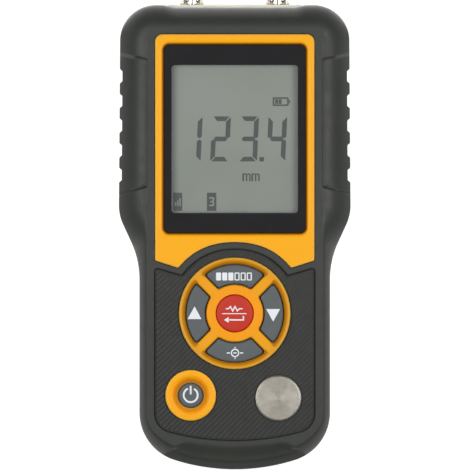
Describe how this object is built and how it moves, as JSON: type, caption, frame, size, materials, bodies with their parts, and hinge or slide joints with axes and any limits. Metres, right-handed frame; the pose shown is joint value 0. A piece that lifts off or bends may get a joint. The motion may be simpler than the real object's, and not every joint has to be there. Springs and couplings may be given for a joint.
{
  "type": "ultrasonic thickness gauge",
  "caption": "Handheld ultrasonic thickness gauge lying on its back: rubber-clad case with display, round keypad, power key, metal zero block and two probe sockets.",
  "frame": {"origin": "centre of the bounding box in X and Y, on the surface that the back rests on", "axes": "+X to the right of the keypad, +Y from the bottom of the case to the probe sockets, +Z out of the display"},
  "size_m": [0.08, 0.164, 0.0365],
  "materials": {
    "rubber_skin": "matt moulded rubber with a fine grain",
    "shell_plastic": "fine textured dark plastic",
    "orange_plastic": "satin moulded plastic",
    "lens": "clear window with a black printed border",
    "lcd": "satin polariser film",
    "key_grey": "matt rubber",
    "key_red": "matt rubber",
    "block_metal": "turned",
    "nickel": "bright plated",
    "steel": "plated screws",
    "brass": "gold plated",
    "board": "solder mask",
    "chip_black": "moulded epoxy",
    "white_plastic": "satin",
    "black_rubber": "matt",
    "elastomer": "striped conductive rubber",
    "foam": "closed-cell foam",
    "cell_wrap": "printed sleeve, plain",
    "wire": "insulation"
  },
  "bodies": {
    "housing": {"front_overmould": "rubber_skin", "rear_overmould": "rubber_skin", "front_shell": "shell_plastic", "rear_shell": "shell_plastic", "case_seal": "black_rubber", "case_screws": "steel", "display_bezel": "orange_plastic", "display_lens": "lens", "lens_gasket": "foam", "lcd_panel": "lcd", "lcd_backlight": "white_plastic", "lcd_holder": "chip_black", "elastomer_strip": "elastomer", "key_ring": "orange_plastic", "power_ring": "orange_plastic", "tact_switches": "chip_black", "zero_block": "block_metal", "block_retainer": "steel", "retainer_screws": "steel", "main_board": "board", "board_screws": "steel", "processor": "chip_black", "pulser_chip": "chip_black", "pulse_transformer": "chip_black", "crystal": "nickel", "capacitors": "chip_black", "buzzer": "chip_black", "top_plate": "white_plastic", "probe_sockets": "nickel", "socket_insulators": "white_plastic", "socket_contacts": "brass", "lock_washers": "steel", "socket_nuts": "nickel", "inner_leads": "wire", "battery_cover": "shell_plastic", "cover_screw": "steel", "cover_pad": "foam", "battery_cells": "cell_wrap", "cell_springs": "nickel", "cell_contacts": "nickel", "battery_leads": "wire"},
    "memory_button": {"memory_key": "key_grey", "memory_plunger": "chip_black"},
    "cal_button": {"cal_key": "key_grey", "cal_plunger": "chip_black"},
    "up_button": {"up_key": "key_grey", "up_plunger": "chip_black"},
    "down_button": {"down_key": "key_grey", "down_plunger": "chip_black"},
    "enter_button": {"enter_key": "key_red", "enter_plunger": "chip_black"},
    "power_button": {"power_key": "key_grey", "power_plunger": "chip_black"}
  },
  "joints": [
    {"name": "memory_press", "type": "slide", "parent": "housing", "child": "memory_button", "axis": [0, 0, -1], "range_m": [0, 0.001], "stiffness_N_per_m": 600, "springref_m": -0.001},
    {"name": "cal_press", "type": "slide", "parent": "housing", "child": "cal_button", "axis": [0, 0, -1], "range_m": [0, 0.001], "stiffness_N_per_m": 600, "springref_m": -0.001},
    {"name": "up_press", "type": "slide", "parent": "housing", "child": "up_button", "axis": [0, 0, -1], "range_m": [0, 0.001], "stiffness_N_per_m": 600, "springref_m": -0.001},
    {"name": "down_press", "type": "slide", "parent": "housing", "child": "down_button", "axis": [0, 0, -1], "range_m": [0, 0.001], "stiffness_N_per_m": 600, "springref_m": -0.001},
    {"name": "enter_press", "type": "slide", "parent": "housing", "child": "enter_button", "axis": [0, 0, -1], "range_m": [0, 0.001], "stiffness_N_per_m": 600, "springref_m": -0.001},
    {"name": "power_press", "type": "slide", "parent": "housing", "child": "power_button", "axis": [0, 0, -1], "range_m": [0, 0.001], "stiffness_N_per_m": 600, "springref_m": -0.001}
  ]
}
